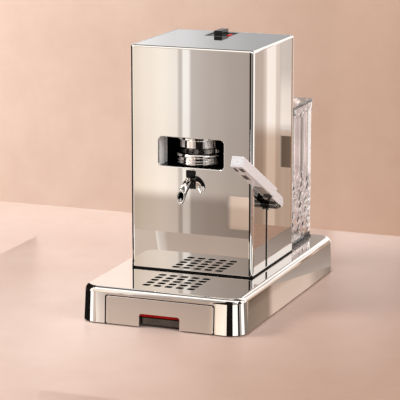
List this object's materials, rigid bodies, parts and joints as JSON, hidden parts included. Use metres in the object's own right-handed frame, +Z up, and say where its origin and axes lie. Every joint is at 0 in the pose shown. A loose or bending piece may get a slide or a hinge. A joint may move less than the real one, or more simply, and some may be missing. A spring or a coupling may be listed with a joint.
{
  "type": "pod espresso machine",
  "caption": "Espresso machine with a mirror steel body on a chromed base: side lever, pod window, curved spout over a drain grille, drip drawer and rear water tank.",
  "frame": {"origin": "centre of the base's footprint, on the surface that the feet stand on", "axes": "+Z up, +Y to the rear along the base's long side, +X to the right seen from the front"},
  "size_m": [0.207, 0.358, 0.3258],
  "materials": {
    "mirror_steel": "mirror polished stainless steel",
    "chrome": "bright chrome plating",
    "satin_steel": "satin steel",
    "galvanised_steel": "galvanised sheet",
    "zinc_screws": "zinc plated",
    "white_plastic": "warm white, semi-gloss",
    "black_plastic": "black, satin",
    "light_plastic": "light grey, glossy",
    "grey_plastic": "grey, satin",
    "red_plastic": "red, glossy",
    "red_lens": "red lens, glossy",
    "clear_plastic": "clear moulded plastic",
    "white_valve": "natural white",
    "black_rubber": "black rubber",
    "silicone_hose": "milky silicone",
    "brass": "plain brass",
    "pump_body": "dark moulded plastic over a coil"
  },
  "bodies": {
    "root": {"body_shell": "mirror_steel", "base_housing": "chrome", "guide_cheeks": "chrome", "group_head": "chrome", "top_panel": "satin_steel", "base_plate": "satin_steel", "shower_screen": "satin_steel", "rocker_pin": "satin_steel", "chassis": "galvanised_steel", "pump_brackets": "galvanised_steel", "rear_panel": "galvanised_steel", "drawer_runners": "galvanised_steel", "base_screws": "zinc_screws", "rear_screws": "zinc_screws", "chassis_screws": "zinc_screws", "window_lining": "black_plastic", "switch_housing": "black_plastic", "panel_bush": "black_plastic", "carrier_guide": "black_plastic", "shaft_bushings": "black_plastic", "switch_bezel": "light_plastic", "tank_seat": "grey_plastic", "switch_lamp": "red_lens", "body_gasket": "black_rubber", "rubber_feet": "black_rubber", "cord_entry": "black_rubber", "group_seal": "black_rubber", "pump_mounts": "black_rubber", "water_hose": "silicone_hose", "pressure_hose": "silicone_hose", "boiler": "brass", "heater_terminals": "brass", "pump": "pump_body", "thermostat": "pump_body"},
    "drawer": {"drawer_front": "chrome", "drip_tray": "red_plastic"},
    "carriage": {"pod_carrier": "chrome", "carrier_filter": "satin_steel", "carrier_stem": "satin_steel", "spout_tube": "chrome", "spout_nut": "chrome", "slot_shutter": "black_plastic"},
    "lever": {"lever_shaft": "satin_steel", "lift_cam": "satin_steel", "shaft_collar": "satin_steel", "lever_hub": "chrome", "hub_screw": "zinc_screws", "lever_arm": "satin_steel", "lever_grip": "white_plastic", "lever_end_cap": "white_plastic"},
    "rocker": {"switch_rocker": "black_plastic"},
    "tank": {"water_tank": "clear_plastic", "tank_valve": "white_valve"},
    "lid": {"tank_lid": "clear_plastic"}
  },
  "joints": [
    {"name": "drawer_slide", "type": "slide", "parent": "root", "child": "drawer", "axis": [0, -1, 0], "range_m": [0, 0.11]},
    {"name": "lever_hinge", "type": "hinge", "parent": "root", "child": "lever", "pos_m": [0, -0.026, 0.129], "axis": [1, 0, 0], "range_deg": [0, 55]},
    {"name": "carriage_lift", "type": "slide", "parent": "root", "child": "carriage", "axis": [0, 0, 1], "range_m": [0, 0.006]},
    {"name": "rocker_tilt", "type": "hinge", "parent": "root", "child": "rocker", "pos_m": [-0.007, 0.044, 0.309], "axis": [1, 0, 0], "range_deg": [-8, 8]},
    {"name": "tank_lift", "type": "slide", "parent": "root", "child": "tank", "axis": [0, 0, 1], "range_m": [0, 0.06]},
    {"name": "lid_lift", "type": "slide", "parent": "tank", "child": "lid", "axis": [0, 0, 1], "range_m": [0, 0.03]}
  ],
  "couplings": [
    {"joint": "carriage_lift", "follows": "lever_hinge", "m_per_rad": 0.00625}
  ]
}
